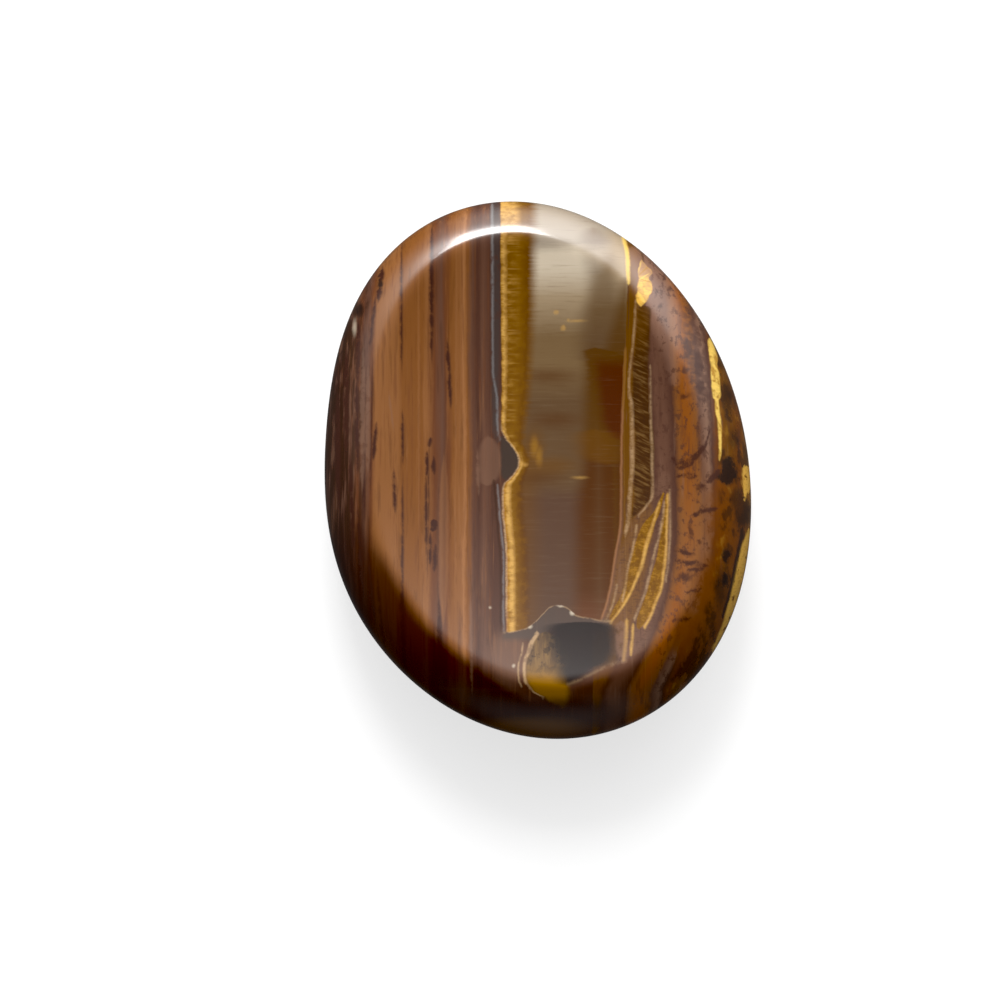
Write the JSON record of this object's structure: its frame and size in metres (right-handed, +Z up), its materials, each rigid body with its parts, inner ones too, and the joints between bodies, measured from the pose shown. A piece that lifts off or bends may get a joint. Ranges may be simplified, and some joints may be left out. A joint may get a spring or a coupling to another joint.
{
  "type": "tiger iron worry stone",
  "caption": "Polished egg-shaped worry stone of banded tiger iron, with a shallow thumb hollow ground into its face and a small flat spot that it rests on.",
  "frame": {"origin": "middle of the small flat spot on the back that the stone rests on", "axes": "+Z up out of the thumb hollow, +Y along the stone to its narrower end, +X across it to the side with the golden seams"},
  "size_m": [0.0487, 0.0638, 0.0129],
  "materials": {
    "polished_tiger_iron": "polished"
  },
  "bodies": {
    "root": {"stone": "polished_tiger_iron"}
  },
  "joints": []
}
